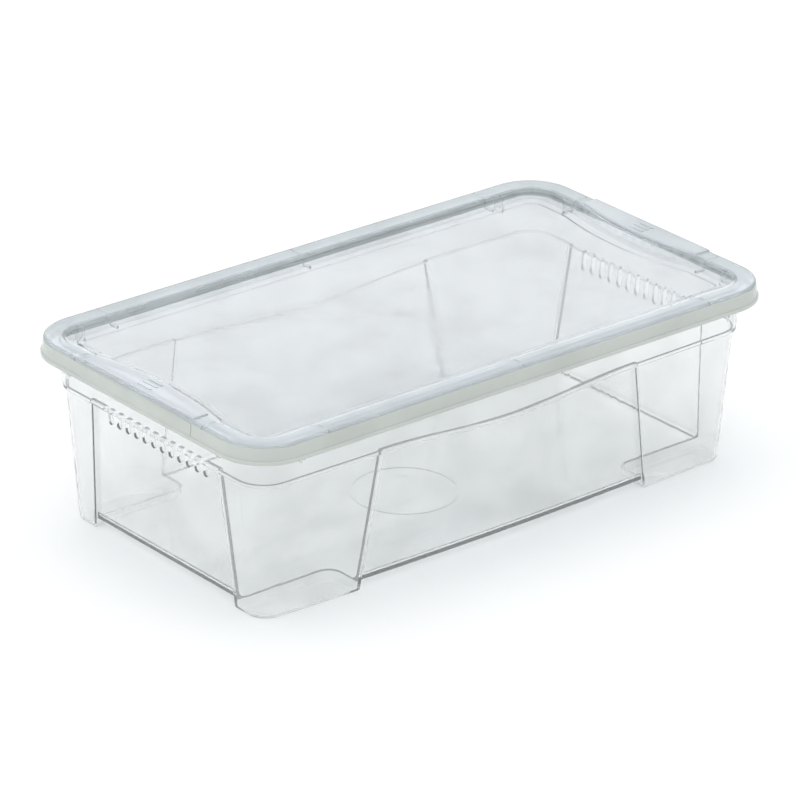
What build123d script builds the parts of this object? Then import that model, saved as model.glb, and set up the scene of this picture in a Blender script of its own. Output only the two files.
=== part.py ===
"""Clear storage box for one pair of shoes: a tub on four corner feet, and its push-on lid.

Frame: the origin is the middle of the footprint, on the surface that the feet stand on.
+X runs along the box, +Y across it and +Z up.  All sizes are in millimetres.
"""
import os

from build123d import *

# ---- overall sizes, over the lid's hem and pads
box_length = 340.0
box_width = 190.0
box_height = 101.9

# ---- moulded wall and fits
tub_wall = 1.4
lid_wall = 1.4
skirt_clearance = 0.3         # lid skirt to the tub's flange, each side
spigot_clearance = 0.5        # lid's sunken top to the inside of the tub's mouth, each side
seat_clearance = 0.2          # lid ribs to the flange under them

# ---- lid: skirt and rim
pad_rise = 1.0                # grip pads above the rim
skirt_height = 10.1           # rim top down to the hem's lower edge
skirt_corner_radius = 26.3
skirt_flare = 0.9             # how much wider the skirt is at its foot
hem_height = 2.0
hem_proud = 0.7
hem_round = 0.6
rim_round = 2.0               # outer top edge of the rim

# ---- lid: sunken top
well_depth = 4.1              # rim top down to the border strip
well_draft = 1.5
border_width = 5.6
panel_drop = 0.7              # border strip down to the panel, in a gentle slope
panel_slope = 3.2
bow_depth = 6.0               # how far each short end of the well bows inwards
bow_half_width = 46.0
bow_blend_radius = 14.0

# ---- lid: grip pads and ribs
pad_half_width = 44.0
pad_edge_gap = 0.8            # pad to the edge of the well
pad_round = 0.7
grip_face_proud = 0.3         # skirt below each pad stands this much further out
grip_bar_length = 11.0
grip_bar_width = 1.6
grip_bar_pitch = 3.4
grip_bar_rise = 0.4
rib_thickness = 1.2
rib_drop = 2.0                # lid ribs below the underside of the rim
strip_rib_drop = 1.2          # the same ribs below the underside of the border strip
side_rib_spacing = 123.0
end_rib_offset = 51.0

# ---- tub: mouth and flange
side_overhang = 9.5           # tub wall at the mouth, in from the lid's hem, long sides
end_overhang = 8.8            # the same on the short ends
mouth_corner_radius = 18.0
flange_thickness = 1.6
lip_height = 4.0
lip_thickness = 1.2
gusset_thickness = 1.4
gusset_height = 8.8           # flange underside to the gusset's foot
gusset_round = 1.5
side_gusset_offset = 137.5
end_gusset_offset = 61.5

# ---- tub: walls
side_bow_foot = 4.5           # how far each long side bulges outwards in its middle, at the feet
side_bow_mouth = 0.9          # the same at the mouth
ledge_height = 73.4           # where the wall steps in
band_draft = 1.8              # band above the ledge, mouth to ledge
ledge_step = 1.4
arch_drop = 4.6               # dip of the ledge in the middle of a long side
side_foot_draft = 5.1         # long walls below the ledge, ledge to floor
end_foot_draft = 5.75         # short walls below the ledge, ledge to floor
foot_corner_radius = 11.3     # at the floor
ledge_corner_radius = 15.0
side_panel_top = 82.0         # half-widths of the sunken panels between the feet
side_panel_foot = 93.5
end_panel_top = 50.6
end_panel_foot = 57.0
panel_depth = 1.8
cutter_reach = 4              # panel cutters reach out past the wall, in panel depths
floor_lift = 4.6              # underside of the floor above the surface
foot_round = 2.2              # feet, round their soles
foot_inner_radius = 9.0       # upright corner of each foot that faces the middle
floor_round = 1.6             # outside, floor to sunken panel
floor_inner_round = 3.6       # the same inside

# ---- tub: vents and floor marks
vent_count = 12
vent_pitch = 6.95
vent_width = 3.6
vent_reach = 8.6              # bottom of the vents below the ledge
vent_rise = 1.6               # top of the vents above the ledge
vent_round = 1.7              # lower corners
gate_ring_centre = (-11.0, -14.0)
gate_ring_radius = 28.0
gate_ring_width = 1.2
gate_ring_rise = 0.3

# ---- heights and half-sizes that follow
rim_top = box_height - pad_rise - grip_bar_rise
skirt_foot = rim_top - skirt_height
rim_underside = rim_top - lid_wall
well_floor = rim_top - well_depth
panel_top = well_floor - panel_drop
flange_top = rim_underside - rib_drop - seat_clearance
flange_underside = flange_top - flange_thickness
skirt_half_length = box_length / 2 - hem_proud
skirt_half_width = box_width / 2 - hem_proud
mouth_half_length = box_length / 2 - end_overhang
mouth_half_width = box_width / 2 - side_overhang
well_half_length = mouth_half_length - tub_wall - spigot_clearance - lid_wall
well_half_width = mouth_half_width - tub_wall - spigot_clearance - lid_wall
well_corner_radius = mouth_corner_radius - tub_wall - spigot_clearance - lid_wall
panel_inset = well_draft + border_width
bow_radius = (bow_half_width**2 + bow_depth**2) / (2 * bow_depth)
bow_centre = well_half_length - bow_depth + bow_radius
pad_half_length = skirt_half_length - skirt_flare - rim_round / 2
grip_bar_place = (well_half_length - bow_depth + pad_half_length) / 2
rim_rib_side = (well_half_width, skirt_half_width - skirt_flare - lid_wall / 2)
rim_rib_end = (well_half_length, skirt_half_length - skirt_flare - lid_wall / 2)
strip_rib_inner = panel_inset - lid_wall / 2
strip_rib_outer = well_draft - lid_wall / 2
strip_rib_side = (well_half_width - strip_rib_inner, well_half_width - strip_rib_outer)
strip_rib_end = (well_half_length - strip_rib_inner, well_half_length - strip_rib_outer)
ledge_half_length = mouth_half_length - band_draft - ledge_step
ledge_half_width = mouth_half_width - band_draft - ledge_step
past = 3.0                    # how far a cutter runs on past the face it cuts


def blend(height, low, high):
    """A size that goes from low at the floor to high at the ledge, at the given height."""
    return low + (high - low) * height / ledge_height


# ------------------------------------------------------------------ tub
def side_bow(height):
    """How far a long side bulges at a height."""
    return side_bow_foot + (side_bow_mouth - side_bow_foot) * height / flange_top


def bowed_outline(height, half_length, half_width, corner_radius):
    """Rounded rectangle whose long sides bulge outwards."""
    bow = side_bow(height)
    with BuildSketch(Plane.XY.offset(height)) as outline:
        with BuildLine():
            ThreePointArc((-half_length, -half_width), (0, -half_width - bow), (half_length, -half_width))
            Line((half_length, -half_width), (half_length, half_width))
            ThreePointArc((half_length, half_width), (0, half_width + bow), (-half_length, half_width))
            Line((-half_length, half_width), (-half_length, -half_width))
        make_face()
        fillet(outline.vertices(), corner_radius)
    return outline.sketch


def wall_half_length(height):
    """Half-length of the tub below its ledge, at a height."""
    return blend(height, ledge_half_length - end_foot_draft, ledge_half_length)


def wall_half_width(height):
    """Half-width of the tub below its ledge, at a height, where the bulge starts."""
    return blend(height, ledge_half_width - side_foot_draft, ledge_half_width)


def wall_outline(height, inset):
    """Outline of the tub below its ledge, at a height."""
    corner_radius = blend(height, foot_corner_radius, ledge_corner_radius)
    return bowed_outline(
        height, wall_half_length(height) - inset, wall_half_width(height) - inset, corner_radius - inset
    )


def band_outline(height, inset):
    """Outline of the band between the ledge and the mouth, at a height."""
    draft = band_draft * (flange_top - height) / (flange_top - ledge_height)
    return bowed_outline(
        height,
        mouth_half_length - draft - inset,
        mouth_half_width - draft - inset,
        mouth_corner_radius - draft - inset,
    )


def panel_cutters(height, inset):
    """Four shapes outside the sunken panels' faces, at a height."""
    side_half = blend(height, side_panel_foot, side_panel_top) + inset
    end_half = blend(height, end_panel_foot, end_panel_top) + inset
    side_middle = wall_half_width(height) + side_bow(height) - panel_depth - inset
    side_edge = side_middle - side_bow(height) * (side_half / wall_half_length(height)) ** 2
    end_face = wall_half_length(height) - panel_depth - inset
    reach = cutter_reach * panel_depth
    plane = Plane.XY.offset(height)
    sketches = []
    for side in (-1, 1):
        with BuildSketch(plane) as beside:
            with BuildLine():
                face = ThreePointArc(
                    (-side_half, side * side_edge), (0, side * side_middle), (side_half, side * side_edge)
                )
                Polyline(
                    face @ 1,
                    (side_half, side * (side_middle + reach)),
                    (-side_half, side * (side_middle + reach)),
                    face @ 0,
                )
            make_face()
        with BuildSketch(plane) as beyond:
            with Locations((side * (end_face + reach / 2), 0)):
                Rectangle(reach, 2 * end_half)
        sketches += [beside.sketch, beyond.sketch]
    return sketches


def foot_outline(height, inset, side, end):
    """Outline of the foot at one side and one end, at a height."""
    side_half = blend(height, side_panel_foot, side_panel_top) + inset
    end_half = blend(height, end_panel_foot, end_panel_top) + inset
    with BuildSketch(Plane.XY.offset(height)) as outline:
        add(wall_outline(height, inset))
        with Locations((end * (side_half + box_length / 2), side * (end_half + box_width / 2))):
            Rectangle(box_length, box_width, mode=Mode.INTERSECT)
        inner_corner = outline.vertices().sort_by_distance((0, 0, height))[:1]
        fillet(inner_corner, foot_inner_radius - inset)
    return outline.sketch


def tub_form(inset, foot_radius, floor_radius):
    """Solid of the tub's shape, every outer face moved in by inset."""
    floor = floor_lift + inset
    ledge = ledge_height + inset
    band = [band_outline(ledge, inset), band_outline(flange_top, inset)]
    # the ledge dips in the middle of each long side
    with BuildPart() as arches:
        extrude(band[0], amount=-arch_drop)
        with BuildSketch(Plane.XZ):
            with BuildLine():
                Spline(
                    (-side_panel_top, ledge),
                    (0, ledge - arch_drop),
                    (side_panel_top, ledge),
                    tangents=((1, 0), (1, 0)),
                )
                Line((side_panel_top, ledge), (-side_panel_top, ledge))
            make_face()
        extrude(amount=box_width, both=True, mode=Mode.INTERSECT)
    feet = []
    for side, end in ((-1, -1), (-1, 1), (1, -1), (1, 1)):
        with BuildPart() as foot:
            sections = [foot_outline(height, inset, side, end) for height in (inset, floor)]
            loft(sections, ruled=True)
            fillet(foot.faces().sort_by(Axis.Z)[0].edges(), foot_radius)
        feet.append(foot.part)
    with BuildPart() as form:
        loft([wall_outline(floor, inset), wall_outline(ledge, inset)], ruled=True)
        for low, high in zip(panel_cutters(floor - past, inset), panel_cutters(ledge + past, inset)):
            loft([low, high], ruled=True, mode=Mode.SUBTRACT)
        floor_edges = form.faces().sort_by(Axis.Z)[0].edges()
        wall_feet = floor_edges.filter_by(
            lambda edge: abs(edge.center().X) < past or abs(edge.center().Y) < past
        )
        fillet(wall_feet, floor_radius)
        add(feet)
        loft(band, ruled=True)
        add(arches.part)
    return form.part


# ------------------------------------------------------------------ lid
def skirt_half(half_size, height):
    """Half-size of the skirt's outer face at a height; it flares towards its foot."""
    return half_size - skirt_flare * (height - skirt_foot) / skirt_height


def skirt_outline(height, inset):
    """Outline of the skirt at a height."""
    with BuildSketch(Plane.XY.offset(height)) as outline:
        RectangleRounded(
            2 * (skirt_half(skirt_half_length, height) - inset),
            2 * (skirt_half(skirt_half_width, height) - inset),
            skirt_half(skirt_corner_radius, height) - inset,
        )
    return outline.sketch


def grip_face(side, height):
    """Section of the thicker skirt below one pad, at a height."""
    outer = skirt_half(skirt_half_length, height) + grip_face_proud
    with BuildSketch(Plane.XY.offset(height)) as section:
        with Locations((side * (outer - lid_wall / 2), 0)):
            Rectangle(lid_wall, 2 * pad_half_width)
    return section.sketch


def well_outline(height, inset):
    """Outline of the sunken top; its short ends bow inwards round the grip pads."""
    with BuildSketch(Plane.XY.offset(height)) as outline:
        RectangleRounded(
            2 * (well_half_length - inset),
            2 * (well_half_width - inset),
            well_corner_radius - inset,
        )
        with Locations((bow_centre, 0), (-bow_centre, 0)):
            Circle(bow_radius + inset, mode=Mode.SUBTRACT)
        bow_ends = outline.vertices().filter_by(lambda corner: abs(corner.Y) < bow_half_width + past)
        fillet(bow_ends, bow_blend_radius - inset)
    return outline.sketch


# ------------------------------------------------------------------ tub
flange_half_length = skirt_half(skirt_half_length, flange_top) - lid_wall - skirt_clearance
flange_half_width = skirt_half(skirt_half_width, flange_top) - lid_wall - skirt_clearance
flange_corner_radius = skirt_half(skirt_corner_radius, flange_top) - lid_wall - skirt_clearance
gusset_foot = flange_underside - gusset_height

with BuildPart() as tub:
    add(tub_form(0, foot_round, floor_round))
    # flange round the mouth, with a lip turned down at its edge
    with BuildSketch(Plane.XY.offset(flange_underside)):
        RectangleRounded(2 * flange_half_length, 2 * flange_half_width, flange_corner_radius)
    extrude(amount=flange_thickness)
    with BuildSketch(Plane.XY.offset(flange_underside)):
        RectangleRounded(2 * flange_half_length, 2 * flange_half_width, flange_corner_radius)
        RectangleRounded(
            2 * (flange_half_length - lip_thickness),
            2 * (flange_half_width - lip_thickness),
            flange_corner_radius - lip_thickness,
            mode=Mode.SUBTRACT,
        )
    extrude(amount=-lip_height)
    # gussets under the flange, two near each corner
    for plane, offset_out, half_wall, half_flange in (
        (Plane.YZ, side_gusset_offset, mouth_half_width, flange_half_width),
        (Plane.XZ, end_gusset_offset, mouth_half_length, flange_half_length),
    ):
        inner = half_wall - band_draft
        outer = half_flange - lip_thickness / 2
        with BuildSketch(plane.offset(offset_out), plane.offset(-offset_out)) as gussets:
            with Locations(
                ((inner + outer) / 2, gusset_foot + gusset_height / 2),
                (-(inner + outer) / 2, gusset_foot + gusset_height / 2),
            ):
                Rectangle(outer - inner, gusset_height)
            feet = gussets.vertices().group_by(Axis.Y)[0]
            fillet(feet.filter_by(lambda corner: abs(corner.X) > (inner + outer) / 2), gusset_round)
        extrude(amount=gusset_thickness / 2, both=True)
    # hollow the tub, then cut the vents
    add(tub_form(tub_wall, foot_round - tub_wall, floor_inner_round), mode=Mode.SUBTRACT)
    vent_height = vent_rise + vent_reach
    with BuildSketch(Plane.YZ) as vents:
        with Locations((0, ledge_height - vent_reach + vent_height / 2)):
            with GridLocations(vent_pitch, 0, vent_count, 1):
                Rectangle(vent_width, vent_height)
        fillet(vents.vertices().group_by(Axis.Y)[0], vent_round)
    extrude(amount=mouth_half_length - band_draft - tub_wall, both=True, mode=Mode.SUBTRACT)
    # ring round the moulding gate
    with BuildSketch(Plane.XY.offset(floor_lift + tub_wall)):
        with Locations(gate_ring_centre):
            Circle(gate_ring_radius)
            Circle(gate_ring_radius - gate_ring_width, mode=Mode.SUBTRACT)
    extrude(amount=gate_ring_rise)

# ------------------------------------------------------------------ lid
with BuildPart() as lid:
    # rounded hem along the foot of the skirt
    with BuildSketch(Plane.XY.offset(skirt_foot)):
        RectangleRounded(box_length, box_width, skirt_corner_radius + hem_proud)
    extrude(amount=hem_height)
    fillet(lid.edges().filter_by(Plane.XY), hem_round)
    # skirt and rim, hollow below
    loft([skirt_outline(skirt_foot, 0), skirt_outline(rim_top, 0)], ruled=True)
    fillet(lid.faces().sort_by(Axis.Z)[-1].edges(), rim_round)
    loft(
        [skirt_outline(skirt_foot, lid_wall), skirt_outline(rim_underside, lid_wall)],
        ruled=True,
        mode=Mode.SUBTRACT,
    )
    # raised grip pad in the middle of each short end
    with BuildSketch(Plane.XY.offset(rim_underside)):
        with Locations((bow_centre, 0), (-bow_centre, 0)):
            Circle(bow_radius - pad_edge_gap)
        Rectangle(2 * pad_half_length, 2 * pad_half_width, mode=Mode.INTERSECT)
    extrude(amount=lid_wall + pad_rise)
    fillet(lid.faces().group_by(Axis.Z)[-1].edges(), pad_round)
    # skirt a little thicker below each pad
    for side in (-1, 1):
        grip_foot = grip_face(side, skirt_foot + hem_height / 2)
        loft([grip_foot, grip_face(side, rim_top - rim_round)], ruled=True)
    # sunken top: a tray hung from the rim, sloping gently down to the panel
    tray_top = well_outline(rim_underside, -lid_wall)
    tray_foot = well_outline(well_floor - lid_wall, well_draft - lid_wall)
    loft([tray_top, tray_foot], ruled=True)
    slope_top = well_outline(well_floor - lid_wall, panel_inset - lid_wall)
    slope_foot = well_outline(panel_top - lid_wall, panel_inset + panel_slope - lid_wall)
    loft([slope_top, slope_foot], ruled=True)
    loft([well_outline(rim_top, 0), well_outline(well_floor, well_draft)], ruled=True, mode=Mode.SUBTRACT)
    panel = [well_outline(well_floor, panel_inset), well_outline(panel_top, panel_inset + panel_slope)]
    loft(panel, ruled=True, mode=Mode.SUBTRACT)
    # ribs under the rim and under the border strip
    for height, drop, side_span, end_span in (
        (rim_underside, rib_drop, rim_rib_side, rim_rib_end),
        (well_floor - lid_wall, strip_rib_drop, strip_rib_side, strip_rib_end),
    ):
        side_reach = side_span[1] - side_span[0]
        end_reach = end_span[1] - end_span[0]
        with BuildSketch(Plane.XY.offset(height)):
            with GridLocations(side_rib_spacing, sum(side_span), 3, 2):
                Rectangle(rib_thickness, side_reach)
            with GridLocations(sum(end_span), 2 * end_rib_offset, 2, 2):
                Rectangle(end_reach, rib_thickness)
        extrude(amount=-drop)
    # three short bars for the thumb on each pad
    for side in (-1, 1):
        with BuildSketch(Plane.XY.offset(rim_top + pad_rise)):
            with Locations((side * grip_bar_place, 0)):
                with GridLocations(grip_bar_pitch, 0, 3, 1):
                    SlotOverall(grip_bar_length, grip_bar_width, rotation=90)
        extrude(amount=grip_bar_rise)

if __name__ == "__main__":
    os.makedirs("parts", exist_ok=True)
    tub.part.label = "tub"
    export_step(tub.part, "parts/tub.step")
    lid.part.label = "lid"
    export_step(lid.part, "parts/lid.step")
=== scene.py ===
import math

import bmesh
import bpy
from mathutils import Euler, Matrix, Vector


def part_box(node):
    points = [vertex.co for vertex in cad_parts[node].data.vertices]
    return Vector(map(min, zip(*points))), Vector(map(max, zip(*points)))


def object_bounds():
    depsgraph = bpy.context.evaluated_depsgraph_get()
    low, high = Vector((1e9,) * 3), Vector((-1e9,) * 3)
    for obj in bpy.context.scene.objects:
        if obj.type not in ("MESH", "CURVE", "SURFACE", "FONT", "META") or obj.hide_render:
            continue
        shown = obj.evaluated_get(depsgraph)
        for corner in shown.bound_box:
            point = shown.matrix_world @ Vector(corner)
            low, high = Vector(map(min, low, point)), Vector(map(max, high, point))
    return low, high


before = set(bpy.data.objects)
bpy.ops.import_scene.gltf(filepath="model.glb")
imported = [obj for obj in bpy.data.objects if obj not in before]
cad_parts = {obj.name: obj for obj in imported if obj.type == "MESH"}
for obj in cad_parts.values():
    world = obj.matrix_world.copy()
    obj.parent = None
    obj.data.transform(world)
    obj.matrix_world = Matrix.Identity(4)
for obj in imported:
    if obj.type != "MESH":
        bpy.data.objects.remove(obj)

bl_info = {
    "name": "Clear shoe box",
    "version": (1, 0, 0),
    "blender": (4, 5, 0),
    "location": "3D View > Sidebar > Shoe box",
    "description": "Finishes the packed tub and lid as clear plastic, on a plain studio stage",
    "category": "Object",
}

# ---------------------------------------------------------------- places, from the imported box
CAD_LOW, CAD_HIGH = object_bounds()
BOX_CENTRE = (CAD_LOW + CAD_HIGH) / 2
LID_LOW, LID_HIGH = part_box("lid")
HEM_HALF = ((LID_HIGH[0] - LID_LOW[0]) / 2, (LID_HIGH[1] - LID_LOW[1]) / 2)

# where each finish lies on the lid, in metres
HEM_CORNER_RADIUS = 0.027
SKIRT_REACH = 0.005  # the skirt lies within this of the hem's outline
PAD_TOP_DEPTH = 0.0013  # pads end this far below the lid's highest point
RIM_DEPTH = 0.003  # and the rim this far below it
SHARP_ANGLE = math.radians(28)  # edges sharper than this keep a hard line

# moulded surface
CLOUD_SHADE = 0.93  # tint of a cloudy patch over that of clear plastic
RIPPLE_STRENGTH = 0.2
RIPPLE_HEIGHT = 0.0004
SCRATCH_STRENGTH = 0.25
SCRATCH_DEPTH = 0.00006
STREAK_STRETCH = (9.0, 14.0)  # of the noise, round the middle and up the wall
STREAK_NOISE = 4.0
HAIR_RANGE = (0.7, 0.76)
GAP_NOISE = 26.0
GAP_RANGE = (0.5, 0.65)
CLOUD_RANGE = (0.35, 0.75)
CLOUD_DULLING = 0.35  # how dull a cloudy patch is beside a scratch
# turn about Z and stretch of the noise for each set of hair scratches
SCRATCH_SETS = (
    (0.4, (900.0, 14.0, 60.0)),
    (-0.7, (16.0, 1100.0, 80.0)),
    (1.3, (700.0, 20.0, 900.0)),
)

# studio
FLOOR_RADIUS = 1.6
FLOOR_SEGMENTS = 128
BACKDROP_DIRECTION = (0.64, 0.77, 0.0)
FRONT_GREY = (0.62, 0.64, 0.65, 1)
BACKDROP_WHITE = (0.93, 0.95, 0.96, 1)
SKY_WHITE = (0.97, 0.985, 1.0, 1)
FRONT_END, BACKDROP_START = 0.1, 0.85  # shares of the way from front to backdrop
SKY_HEIGHT = 0.6  # sine of the elevation from which the sky is plain
# name, place, size and power in watts
LAMPS = (
    ("overhead_lamp", (0.0, 0.3, 2.2), 2.0, 14.0),
    ("left_lamp", (-1.8, 0.2, 1.2), 0.6, 3.0),
)
SENSOR_WIDTH = 36.0
CAMERA_REACH = 50.0
LIGHT_BOUNCES = 24
CLEAR_BOUNCES = 32


# ---------------------------------------------------------------- settings
def tint_property(name, description, default):
    return bpy.props.FloatVectorProperty(
        name=name, description=description, subtype="COLOR", default=default, min=0.0, max=1.0
    )


def share_property(name, description, default):
    return bpy.props.FloatProperty(
        name=name, description=description, subtype="FACTOR", default=default, min=0.0, max=1.0
    )


class PlasticSettings(bpy.types.PropertyGroup):
    """Colours and surface of the moulded plastic."""

    tub_tint: tint_property("Tub", "Colour of the tub's clear plastic", (0.95, 0.955, 0.952))
    tray_tint: tint_property("Lid panel", "Colour of the lid's sunken panel", (0.78, 0.80, 0.815))
    rim_tint: tint_property("Rim", "Colour of the lid's milky rim", (0.82, 0.86, 0.885))
    pad_tint: tint_property("Pads", "Colour of the grip pads", (0.75, 0.78, 0.81))
    # the skirt's tint is the lid plastic's own greenish tone, made darker as painted shade for its
    # upright faces
    skirt_shaded_tint: tint_property("Skirt", "Colour of the lid's skirt", (0.66, 0.69, 0.65))
    tub_clear: share_property("Tub clarity", "Light that the tub lets through", 0.93)
    tray_clear: share_property("Panel clarity", "Light that the panel lets through", 0.93)
    rim_clear: share_property("Rim clarity", "Light that the rim lets through", 0.72)
    pad_clear: share_property("Pad clarity", "Light that the pads let through", 0.5)
    skirt_clear: share_property("Skirt clarity", "Light that the skirt lets through", 0.25)
    ior: bpy.props.FloatProperty(
        name="Refractive index",
        description="Refractive index of the plastic",
        default=1.49,
        min=1.0,
        max=2.0,
    )


class StageSettings(bpy.types.PropertyGroup):
    """Floor, light and camera."""

    floor_colour: bpy.props.FloatVectorProperty(
        name="Floor",
        description="Colour of the studio floor",
        subtype="COLOR",
        default=(0.92, 0.92, 0.92),
    )
    camera_azimuth: bpy.props.FloatProperty(
        name="Azimuth",
        description="Camera's place round the box, from the front towards the left end",
        subtype="ANGLE",
        default=math.radians(-39.80),
    )
    camera_elevation: bpy.props.FloatProperty(
        name="Elevation",
        description="Camera's height above the horizon",
        subtype="ANGLE",
        default=math.radians(24.55),
    )
    camera_roll: bpy.props.FloatProperty(
        name="Roll",
        description="Camera's turn about its own axis",
        subtype="ANGLE",
        default=math.radians(0.62),
    )
    camera_distance: bpy.props.FloatProperty(
        name="Distance",
        description="Camera to the middle of the box",
        subtype="DISTANCE",
        unit="LENGTH",
        default=2.645,
    )
    camera_aim: bpy.props.FloatVectorProperty(
        name="Aim",
        description="Aim point, from the middle of the box",
        subtype="TRANSLATION",
        unit="LENGTH",
        default=(-0.0021, 0.0002, -0.0025),
    )
    camera_lens: bpy.props.FloatProperty(
        name="Lens",
        description="Focal length in millimetres",
        unit="CAMERA",
        default=235.3,
    )


# ---------------------------------------------------------------- surface effects
def new_group(name, inputs, outputs):
    """Empty shader node group; inputs are (name, type, default) and outputs are (name, type)."""
    group = bpy.data.node_groups.new(name, "ShaderNodeTree")
    for label, kind, default in inputs:
        socket = group.interface.new_socket(label, in_out="INPUT", socket_type=kind)
        socket.default_value = default
    for label, kind in outputs:
        group.interface.new_socket(label, in_out="OUTPUT", socket_type=kind)
    entry = group.nodes.new("NodeGroupInput")
    leave = group.nodes.new("NodeGroupOutput")
    return group, entry, leave


def add_noise(group, vector, scale, detail):
    """Noise texture on a vector; scale may be a socket or a number."""
    noise = group.nodes.new("ShaderNodeTexNoise")
    noise.inputs["Detail"].default_value = detail
    group.links.new(vector, noise.inputs["Vector"])
    if isinstance(scale, float):
        noise.inputs["Scale"].default_value = scale
    else:
        group.links.new(scale, noise.inputs["Scale"])
    return noise.outputs["Fac"]


def add_math(group, operation, first, second, clamp=False):
    """Math node; each operand may be a socket or a number."""
    node = group.nodes.new("ShaderNodeMath")
    node.operation = operation
    node.use_clamp = clamp
    for socket, value in zip(node.inputs, (first, second)):
        if isinstance(value, (int, float)):
            socket.default_value = value
        else:
            group.links.new(value, socket)
    return node.outputs[0]


def add_range(group, value, low, high):
    """Mask that goes smoothly from 0 at low to 1 at high."""
    node = group.nodes.new("ShaderNodeMapRange")
    node.interpolation_type = "SMOOTHSTEP"
    node.inputs["From Min"].default_value = low
    node.inputs["From Max"].default_value = high
    group.links.new(value, node.inputs["Value"])
    return node.outputs["Result"]


def object_position(group):
    return group.nodes.new("ShaderNodeTexCoord").outputs["Object"]


def moulding_waves_group():
    """Slow waves of a thin moulded wall and streaks that run out from the gate."""
    group, entry, leave = new_group(
        "moulding_waves",
        [
            ("Wave Size", "NodeSocketFloat", 22.0),
            ("Wave Height", "NodeSocketFloat", 1.0),
            ("Streak Height", "NodeSocketFloat", 0.3),
        ],
        [("Height", "NodeSocketFloat")],
    )
    place = object_position(group)
    waves = add_noise(group, place, entry.outputs["Wave Size"], 1.0)
    axes = group.nodes.new("ShaderNodeSeparateXYZ")
    group.links.new(place, axes.inputs[0])
    bearing = add_math(group, "ARCTAN2", axes.outputs["Y"], axes.outputs["X"])
    spokes = group.nodes.new("ShaderNodeCombineXYZ")
    around, upwards = STREAK_STRETCH
    group.links.new(add_math(group, "MULTIPLY", bearing, around), spokes.inputs["X"])
    group.links.new(add_math(group, "MULTIPLY", axes.outputs["Z"], upwards), spokes.inputs["Y"])
    streaks = add_noise(group, spokes.outputs[0], STREAK_NOISE, 3.0)
    wave_part = add_math(group, "MULTIPLY", waves, entry.outputs["Wave Height"])
    streak_part = add_math(group, "MULTIPLY", streaks, entry.outputs["Streak Height"])
    group.links.new(add_math(group, "ADD", wave_part, streak_part), leave.inputs["Height"])
    return group


def handling_marks_group():
    """Hair scratches and faint cloudy patches from handling."""
    group, entry, leave = new_group(
        "handling_marks",
        [
            ("Scratches", "NodeSocketFloat", 0.5),
            ("Cloud Size", "NodeSocketFloat", 35.0),
            ("Smooth", "NodeSocketFloat", 0.06),
            ("Dulled", "NodeSocketFloat", 0.2),
        ],
        [
            ("Roughness", "NodeSocketFloat"),
            ("Height", "NodeSocketFloat"),
            ("Cloud", "NodeSocketFloat"),
        ],
    )
    place = object_position(group)
    total = None
    for turn, stretch in SCRATCH_SETS:
        mapping = group.nodes.new("ShaderNodeMapping")
        mapping.inputs["Rotation"].default_value = (0.0, 0.0, turn)
        mapping.inputs["Scale"].default_value = stretch
        group.links.new(place, mapping.inputs["Vector"])
        hair = add_range(group, add_noise(group, mapping.outputs[0], 1.0, 2.0), *HAIR_RANGE)
        total = hair if total is None else add_math(group, "MAXIMUM", total, hair)
    gaps = add_range(group, add_noise(group, place, GAP_NOISE, 2.0), *GAP_RANGE)
    broken = add_math(group, "MULTIPLY", total, gaps)
    scratches = add_math(group, "MULTIPLY", broken, entry.outputs["Scratches"])
    patches = add_noise(group, place, entry.outputs["Cloud Size"], 4.0)
    cloud = add_range(group, patches, *CLOUD_RANGE)
    cloud_part = add_math(group, "MULTIPLY", cloud, CLOUD_DULLING)
    dull = add_math(group, "MAXIMUM", scratches, cloud_part, clamp=True)
    mix = group.nodes.new("ShaderNodeMix")
    group.links.new(dull, mix.inputs["Factor"])
    group.links.new(entry.outputs["Smooth"], mix.inputs["A"])
    group.links.new(entry.outputs["Dulled"], mix.inputs["B"])
    group.links.new(mix.outputs["Result"], leave.inputs["Roughness"])
    group.links.new(scratches, leave.inputs["Height"])
    group.links.new(cloud, leave.inputs["Cloud"])
    return group


def shared_group(name):
    """The named effect, built the first time that a material asks for it."""
    builders = {"moulding_waves": moulding_waves_group, "handling_marks": handling_marks_group}
    return bpy.data.node_groups.get(name) or builders[name]()


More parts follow.
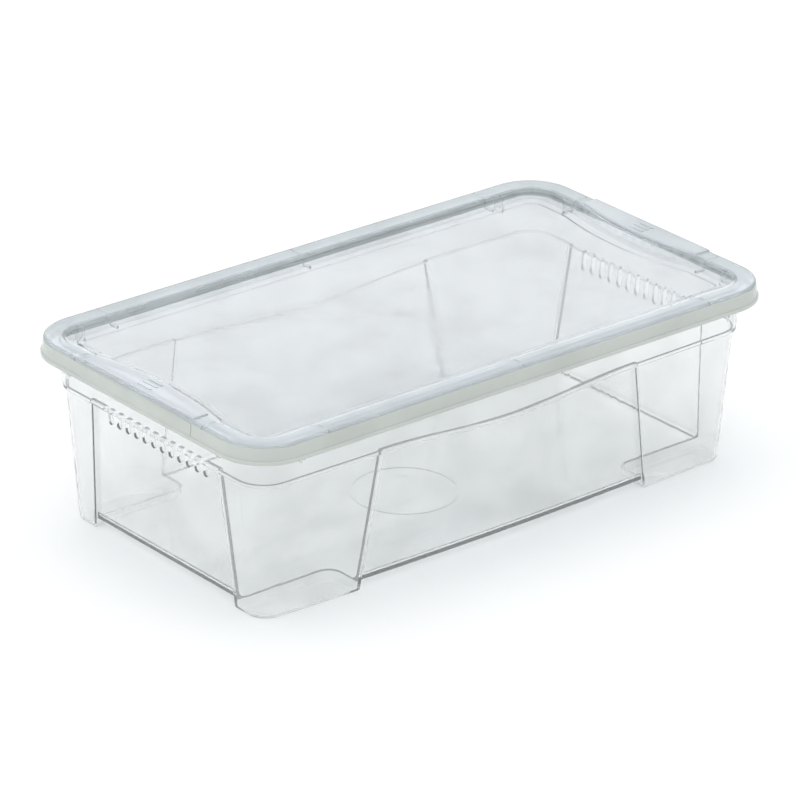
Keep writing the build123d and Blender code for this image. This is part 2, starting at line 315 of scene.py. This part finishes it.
# ---------------------------------------------------------------- materials
def plastic(name, tint, clear, ior, wave_height=1.0, smooth=0.015, dulled=0.12):
    """Moulded plastic, from clear to milky, that lets lamp light through.

    smooth and dulled are the roughness of clean plastic and of a scratch or cloudy patch.
    """
    material = bpy.data.materials.new(name)
    material.use_nodes = True
    tree = material.node_tree
    nodes, links = tree.nodes, tree.links
    nodes.clear()
    output = nodes.new("ShaderNodeOutputMaterial")
    surface = nodes.new("ShaderNodeBsdfPrincipled")
    surface.inputs["IOR"].default_value = ior
    surface.inputs["Transmission Weight"].default_value = clear
    waves = nodes.new("ShaderNodeGroup")
    waves.node_tree = shared_group("moulding_waves")
    waves.inputs["Wave Height"].default_value = wave_height
    marks = nodes.new("ShaderNodeGroup")
    marks.node_tree = shared_group("handling_marks")
    marks.inputs["Smooth"].default_value = smooth
    marks.inputs["Dulled"].default_value = dulled
    links.new(marks.outputs["Roughness"], surface.inputs["Roughness"])
    colour = nodes.new("ShaderNodeMix")
    colour.data_type = "RGBA"
    colour.inputs["A"].default_value = (*tint, 1.0)
    cloudy = [CLOUD_SHADE * channel for channel in tint]
    colour.inputs["B"].default_value = (*cloudy, 1.0)
    links.new(marks.outputs["Cloud"], colour.inputs["Factor"])
    links.new(colour.outputs["Result"], surface.inputs["Base Color"])
    ripple = nodes.new("ShaderNodeBump")
    ripple.inputs["Strength"].default_value = RIPPLE_STRENGTH
    ripple.inputs["Distance"].default_value = RIPPLE_HEIGHT
    links.new(waves.outputs["Height"], ripple.inputs["Height"])
    scratch = nodes.new("ShaderNodeBump")
    scratch.invert = True
    scratch.inputs["Strength"].default_value = SCRATCH_STRENGTH
    scratch.inputs["Distance"].default_value = SCRATCH_DEPTH
    links.new(marks.outputs["Height"], scratch.inputs["Height"])
    links.new(ripple.outputs["Normal"], scratch.inputs["Normal"])
    links.new(scratch.outputs["Normal"], surface.inputs["Normal"])
    passed = nodes.new("ShaderNodeBsdfTransparent")
    passed.inputs["Color"].default_value = (*tint, 1.0)
    path = nodes.new("ShaderNodeLightPath")
    mix = nodes.new("ShaderNodeMixShader")
    links.new(path.outputs["Is Shadow Ray"], mix.inputs[0])
    links.new(surface.outputs[0], mix.inputs[1])
    links.new(passed.outputs[0], mix.inputs[2])
    links.new(mix.outputs[0], output.inputs["Surface"])
    return material


def dress(node, materials, choose=None):
    """Give a CAD node its materials; choose picks one by number from a face's centre."""
    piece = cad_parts[node]
    piece.data.materials.clear()
    for material in materials:
        piece.data.materials.append(material)
    for polygon in piece.data.polygons:
        polygon.use_smooth = True
        if choose:
            polygon.material_index = choose(polygon.center)
    piece.data.set_sharp_from_angle(angle=SHARP_ANGLE)


def hem_distance(place):
    """Distance of a point from the hem's outline, seen from above; negative inside."""
    beyond = [abs(value) - (half - HEM_CORNER_RADIUS) for value, half in zip(place, HEM_HALF)]
    inside = min(max(beyond), 0.0)
    return math.hypot(max(beyond[0], 0.0), max(beyond[1], 0.0)) + inside - HEM_CORNER_RADIUS


def lid_region(place):
    """0 tray, 1 rim, 2 pad and 3 skirt."""
    depth = LID_HIGH[2] - place[2]
    if depth < PAD_TOP_DEPTH:
        return 2
    if depth < RIM_DEPTH:
        return 1
    # region 3, the skirt, takes the darker tint that is painted shade
    if hem_distance(place) > -SKIRT_REACH:
        return 3
    return 0


class OBJECT_OT_shoe_box_tub(bpy.types.Operator):
    """Finish the tub as clear moulded plastic"""

    bl_idname = "object.shoe_box_tub"
    bl_label = "Tub"

    def execute(self, context):
        look = context.scene.shoe_box_plastic
        material = plastic("tub_clear_plastic", look.tub_tint, look.tub_clear, look.ior)
        dress("tub", [material])
        return {"FINISHED"}


class OBJECT_OT_shoe_box_lid(bpy.types.Operator):
    """Finish the lid: clear panel, milky rim, paler pads and a skirt darkened with painted shade"""

    bl_idname = "object.shoe_box_lid"
    bl_label = "Lid"

    def execute(self, context):
        look = context.scene.shoe_box_plastic
        ior = look.ior
        materials = [
            plastic("lid_panel_plastic", look.tray_tint, look.tray_clear, ior, wave_height=0.5),
            plastic("lid_rim_plastic", look.rim_tint, look.rim_clear, ior, smooth=0.04),
            plastic("lid_pad_plastic", look.pad_tint, look.pad_clear, ior, smooth=0.14, dulled=0.3),
            # the skirt gets a darker copy of the lid plastic: painted shade on its upright faces
            plastic("lid_skirt_shaded_plastic", look.skirt_shaded_tint, look.skirt_clear, ior, smooth=0.18),
        ]
        dress("lid", materials, lid_region)
        return {"FINISHED"}


def add_floor(colour):
    """Wide plain floor under the feet."""
    mesh = bpy.data.meshes.new("studio_floor")
    shape = bmesh.new()
    bmesh.ops.create_circle(shape, cap_ends=True, segments=FLOOR_SEGMENTS, radius=FLOOR_RADIUS)
    shape.to_mesh(mesh)
    shape.free()
    floor = bpy.data.objects.new("studio_floor", mesh)
    bpy.context.collection.objects.link(floor)
    material = bpy.data.materials.new("studio_floor")
    material.use_nodes = True
    surface = material.node_tree.nodes["Principled BSDF"]
    surface.inputs["Base Color"].default_value = (*colour, 1.0)
    surface.inputs["Roughness"].default_value = 1.0
    surface.inputs["Specular IOR Level"].default_value = 0.0
    mesh.materials.append(material)


def add_lamp(name, place, size, power):
    """Soft square lamp aimed at the box."""
    lamp = bpy.data.lights.new(name, "AREA")
    lamp.size = size
    lamp.energy = power
    piece = bpy.data.objects.new(name, lamp)
    piece.location = place
    piece.rotation_mode = "QUATERNION"
    piece.rotation_quaternion = (Vector(place) - BOX_CENTRE).to_track_quat("Z", "Y")
    bpy.context.collection.objects.link(piece)


def add_world():
    """Bright overhead and towards the backdrop, greyer low down in front."""
    world = bpy.data.worlds.new("studio")
    bpy.context.scene.world = world
    world.use_nodes = True
    nodes, links = world.node_tree.nodes, world.node_tree.links
    background = nodes["Background"]
    where = nodes.new("ShaderNodeTexCoord")
    split = nodes.new("ShaderNodeSeparateXYZ")
    links.new(where.outputs["Generated"], split.inputs[0])
    towards = nodes.new("ShaderNodeVectorMath")
    towards.operation = "DOT_PRODUCT"
    towards.inputs[1].default_value = BACKDROP_DIRECTION
    links.new(where.outputs["Generated"], towards.inputs[0])
    horizon = nodes.new("ShaderNodeValToRGB")
    front, backdrop = horizon.color_ramp.elements
    front.position, front.color = FRONT_END, FRONT_GREY
    backdrop.position, backdrop.color = BACKDROP_START, BACKDROP_WHITE
    # from -1 and 1 to 0 and 1
    side = nodes.new("ShaderNodeMath")
    side.operation = "MULTIPLY_ADD"
    side.inputs[1].default_value = 0.5
    side.inputs[2].default_value = 0.5
    links.new(towards.outputs["Value"], side.inputs[0])
    links.new(side.outputs[0], horizon.inputs[0])
    rise = nodes.new("ShaderNodeMapRange")
    rise.inputs["From Max"].default_value = SKY_HEIGHT
    links.new(split.outputs["Z"], rise.inputs["Value"])
    sky = nodes.new("ShaderNodeMix")
    sky.data_type = "RGBA"
    sky.inputs["B"].default_value = SKY_WHITE
    links.new(rise.outputs["Result"], sky.inputs["Factor"])
    links.new(horizon.outputs[0], sky.inputs["A"])
    links.new(sky.outputs["Result"], background.inputs["Color"])


def add_camera(stage):
    """Long lens looking down on the front left corner."""
    data = bpy.data.cameras.new("camera")
    data.lens = stage.camera_lens
    data.sensor_width = SENSOR_WIDTH
    data.clip_end = CAMERA_REACH
    camera = bpy.data.objects.new("camera", data)
    bpy.context.collection.objects.link(camera)
    azimuth, elevation = stage.camera_azimuth, stage.camera_elevation
    level = math.cos(elevation)
    back = Vector((math.sin(azimuth) * level, -math.cos(azimuth) * level, math.sin(elevation)))
    camera.location = BOX_CENTRE + Vector(stage.camera_aim) + back * stage.camera_distance
    camera.rotation_mode = "QUATERNION"
    upright = (-back).to_track_quat("-Z", "Y")
    camera.rotation_quaternion = upright @ Euler((0, 0, stage.camera_roll)).to_quaternion()
    bpy.context.scene.camera = camera


class OBJECT_OT_shoe_box_stage(bpy.types.Operator):
    """Add the floor, the soft lamps and the camera"""

    bl_idname = "object.shoe_box_stage"
    bl_label = "Stage"

    def execute(self, context):
        stage = context.scene.shoe_box_stage
        scene = context.scene
        scene.view_settings.view_transform = "Standard"
        scene.cycles.transparent_max_bounces = CLEAR_BOUNCES
        scene.cycles.max_bounces = LIGHT_BOUNCES
        scene.cycles.transmission_bounces = LIGHT_BOUNCES
        add_floor(stage.floor_colour)
        add_world()
        for lamp in LAMPS:
            add_lamp(*lamp)
        add_camera(stage)
        return {"FINISHED"}


class VIEW3D_PT_shoe_box(bpy.types.Panel):
    """Lists the shoe box's pieces and settings"""

    bl_label = "Shoe box"
    bl_idname = "VIEW3D_PT_shoe_box"
    bl_space_type = "VIEW_3D"
    bl_region_type = "UI"
    bl_category = "Shoe box"

    def draw(self, context):
        layout = self.layout
        for operator in OPERATORS:
            layout.operator(operator.bl_idname)
        for settings in (context.scene.shoe_box_plastic, context.scene.shoe_box_stage):
            box = layout.box()
            for name in settings.__annotations__:
                box.prop(settings, name)


OPERATORS = (OBJECT_OT_shoe_box_stage, OBJECT_OT_shoe_box_tub, OBJECT_OT_shoe_box_lid)
CLASSES = (PlasticSettings, StageSettings, *OPERATORS, VIEW3D_PT_shoe_box)


def register():
    for item in CLASSES:
        bpy.utils.register_class(item)
    bpy.types.Scene.shoe_box_plastic = bpy.props.PointerProperty(type=PlasticSettings)
    bpy.types.Scene.shoe_box_stage = bpy.props.PointerProperty(type=StageSettings)


def unregister():
    del bpy.types.Scene.shoe_box_stage
    del bpy.types.Scene.shoe_box_plastic
    for item in reversed(CLASSES):
        bpy.utils.unregister_class(item)


def main():
    register()
    bpy.ops.object.shoe_box_stage()
    bpy.ops.object.shoe_box_tub()
    bpy.ops.object.shoe_box_lid()


if __name__ == "__main__":
    main()
